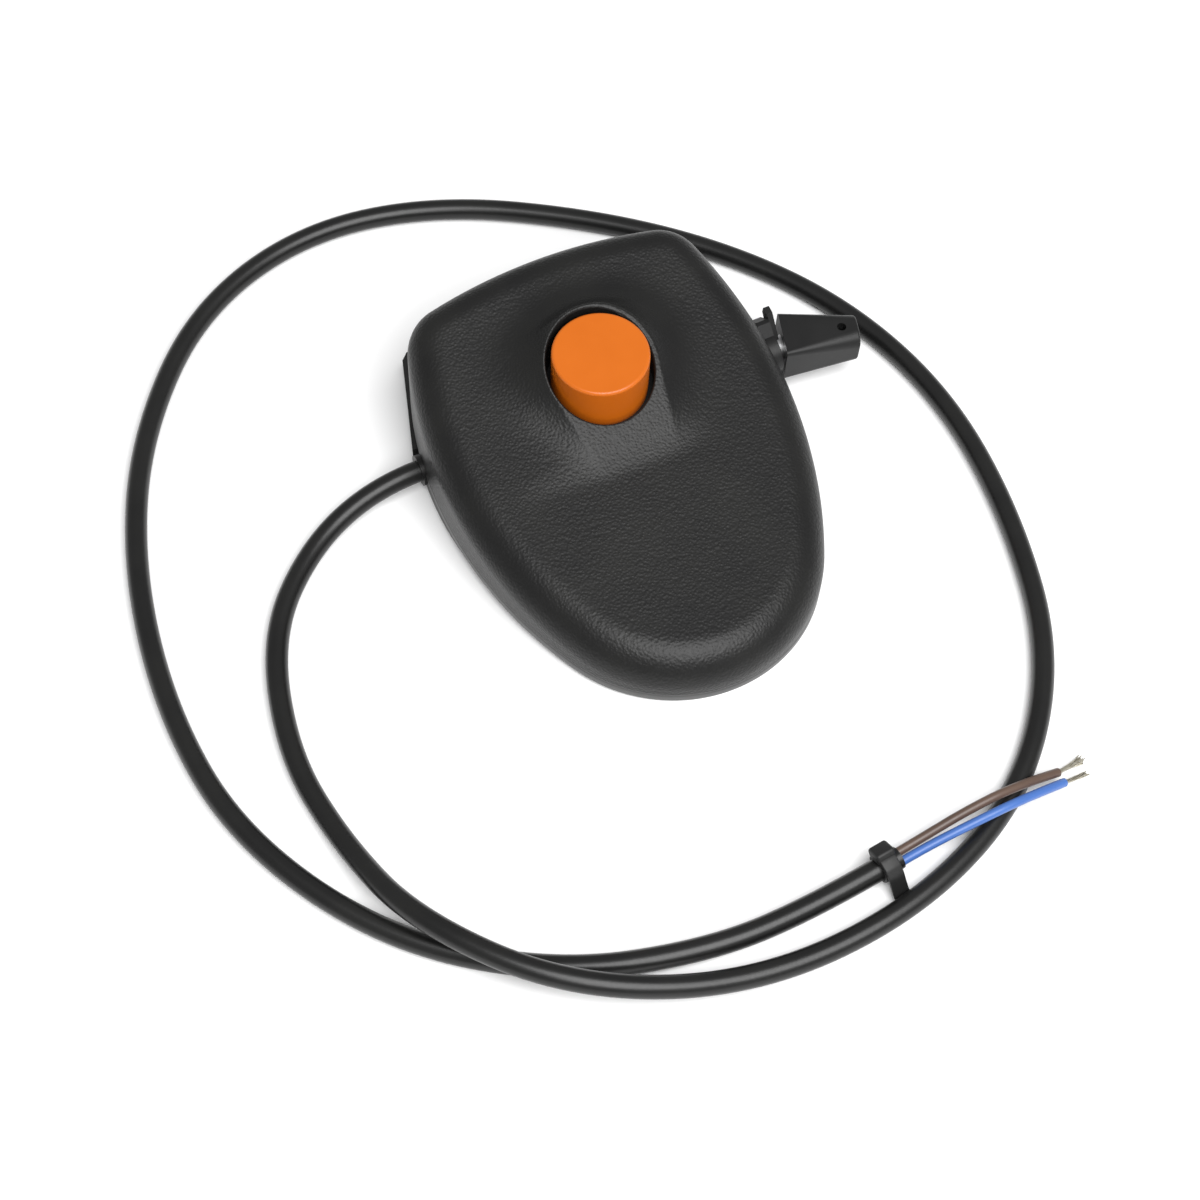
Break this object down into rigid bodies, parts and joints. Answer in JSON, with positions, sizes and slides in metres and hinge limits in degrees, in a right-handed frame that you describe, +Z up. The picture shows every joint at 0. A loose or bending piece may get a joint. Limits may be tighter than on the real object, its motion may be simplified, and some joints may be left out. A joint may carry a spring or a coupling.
{
  "type": "pendant control station",
  "caption": "Handle-mounted shield-shaped control box with a sprung safety button, a bail-lever socket and a loose two-core lead.",
  "frame": {"origin": "centre of the footprint of the box with its saddle and lever socket, on the resting surface", "axes": "+X along the handle tube towards the lever socket, +Y from the round tip to the wide back, +Z up"},
  "size_m": [0.2571, 0.2956, 0.0514],
  "materials": {
    "cover": "satin, fine leather grain",
    "housing": "satin, fine grain",
    "saddle": "matte",
    "button": "semi-gloss",
    "lever_plastic": "satin",
    "inner_plastic": "matte",
    "switch_plastic": "matte",
    "plunger": "semi-gloss",
    "steel": "zinc plated",
    "spring_steel": "drawn wire",
    "brass": "bright",
    "jacket": "semi-gloss",
    "brown_insulation": "semi-gloss",
    "blue_insulation": "semi-gloss",
    "strands": "tinned copper"
  },
  "bodies": {
    "housing": {"upper_cover": "cover", "lower_housing": "housing", "tube_saddle": "saddle", "cover_screws": "steel", "saddle_screws": "steel", "button_guide": "lever_plastic", "button_spring": "spring_steel", "switch_carrier": "inner_plastic", "carrier_screws": "steel", "start_switch_case": "switch_plastic", "start_switch_blades": "brass", "start_switch_screws": "steel", "run_switch_case": "switch_plastic", "run_switch_blades": "brass", "run_switch_screws": "steel", "shaft_bush": "lever_plastic", "lever_return_spring": "spring_steel", "cord_entry": "jacket", "cord_bush": "jacket", "cord_clamp": "inner_plastic", "clamp_screws": "steel", "blade_receptacles": "brass", "brown_inner_lead": "brown_insulation", "blue_inner_lead": "blue_insulation", "link_lead": "jacket", "cord_jacket": "jacket", "brown_core": "brown_insulation", "blue_core": "blue_insulation", "brown_strands": "strands", "blue_strands": "strands", "cable_tie": "saddle"},
    "button": {"push_button": "button"},
    "start_arm": {"start_switch_arm": "spring_steel"},
    "start_plunger": {"start_switch_plunger": "plunger"},
    "lever": {"lever_shaft": "steel", "run_cam": "inner_plastic", "shaft_clip": "spring_steel", "lever_collar": "lever_plastic", "lever_socket": "lever_plastic", "lever_drive_pin": "steel"},
    "run_plunger": {"run_switch_plunger": "plunger"}
  },
  "joints": [
    {"name": "button_slide", "type": "slide", "parent": "housing", "child": "button", "axis": [0, 0.0698, -0.9976], "range_m": [0, 0.003], "stiffness_N_per_m": 600, "springref_m": -0.004, "deforming": ["button_spring"]},
    {"name": "start_arm_hinge", "type": "hinge", "parent": "housing", "child": "start_arm", "pos_m": [-0.031, 0.02034, 0.01555], "axis": [0, 0.9976, 0.0698], "range_deg": [0, 11.46]},
    {"name": "start_plunger_slide", "type": "slide", "parent": "housing", "child": "start_plunger", "axis": [0, 0.0698, -0.9976], "range_m": [0, 0.001]},
    {"name": "lever_hinge", "type": "hinge", "parent": "housing", "child": "lever", "pos_m": [0.044, 0.02075, 0.01397], "axis": [1, 0, 0], "range_deg": [0, 30], "stiffness_Nm_per_rad": 0.03, "springref_deg": -28.65},
    {"name": "run_plunger_slide", "type": "slide", "parent": "housing", "child": "run_plunger", "axis": [0, -0.9976, -0.0698], "range_m": [0, 0.002]}
  ],
  "couplings": [
    {"joint": "start_arm_hinge", "follows": "button_slide", "rad_per_m": 66.667},
    {"joint": "start_plunger_slide", "follows": "button_slide", "ratio": 0.33333},
    {"joint": "run_plunger_slide", "follows": "lever_hinge", "m_per_rad": 0.0038197}
  ]
}
